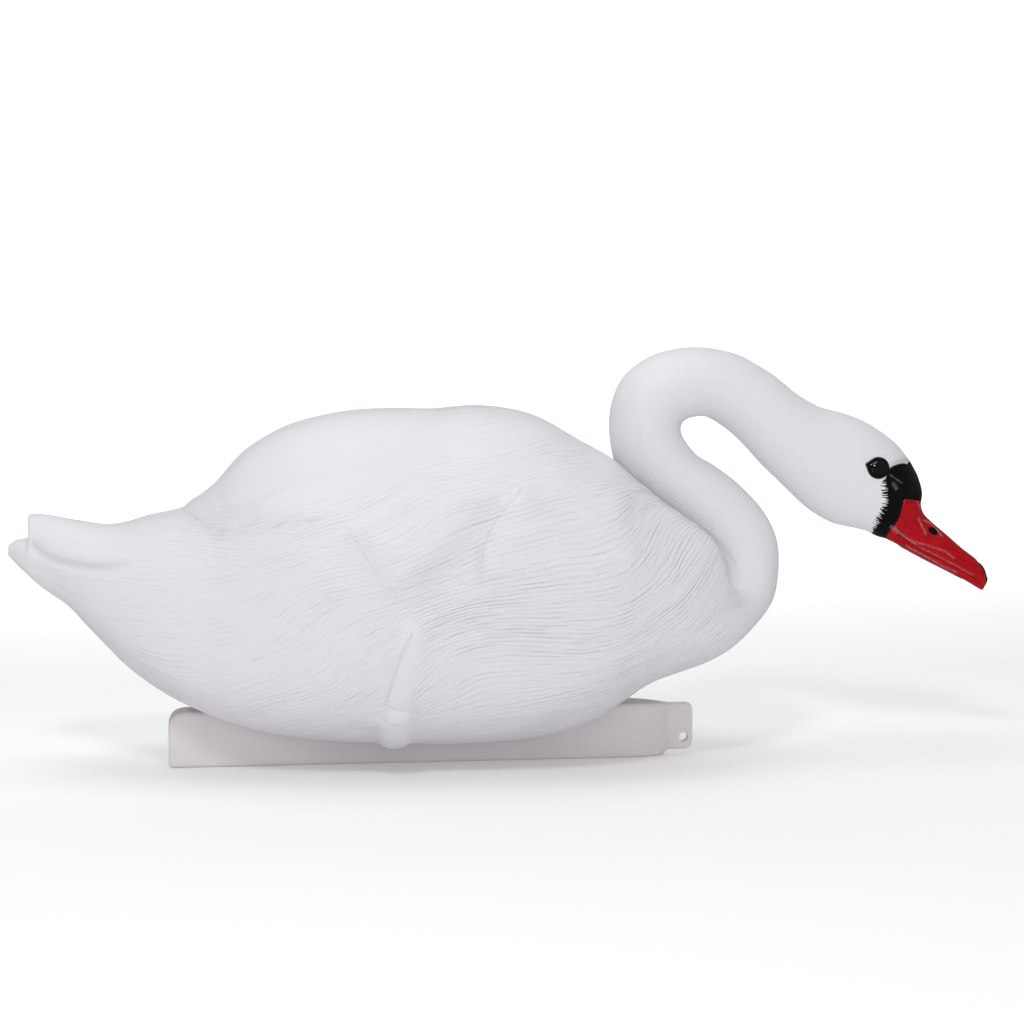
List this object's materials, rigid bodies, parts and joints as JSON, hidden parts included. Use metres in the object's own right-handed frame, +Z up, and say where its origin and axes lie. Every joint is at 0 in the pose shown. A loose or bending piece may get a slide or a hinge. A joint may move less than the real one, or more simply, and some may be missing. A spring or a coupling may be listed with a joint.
{
  "type": "swan decoy",
  "caption": "Floating swan decoy: blow-moulded white shell with a curved neck and lowered head, on a long keel bar with a tab for the anchor line.",
  "frame": {"origin": "middle of the keel's resting face, on the surface that the decoy stands on", "axes": "+X from the tail to the head, +Y to the swan's left, +Z up"},
  "size_m": [0.863, 0.292, 0.3601],
  "materials": {
    "white_plastic": "white polyethylene with a fine combed feather relief, half matt; gloss black paint from the eyes to the bill's base, gloss red paint on the bill",
    "keel_plastic": "natural grey-white polyethylene, satin, slightly see-through",
    "zinc_steel": "bright zinc plate"
  },
  "bodies": {
    "root": {"swan_shell": "white_plastic", "keel": "keel_plastic", "keel_screw_front": "zinc_steel", "keel_screw_rear": "zinc_steel"}
  },
  "joints": []
}
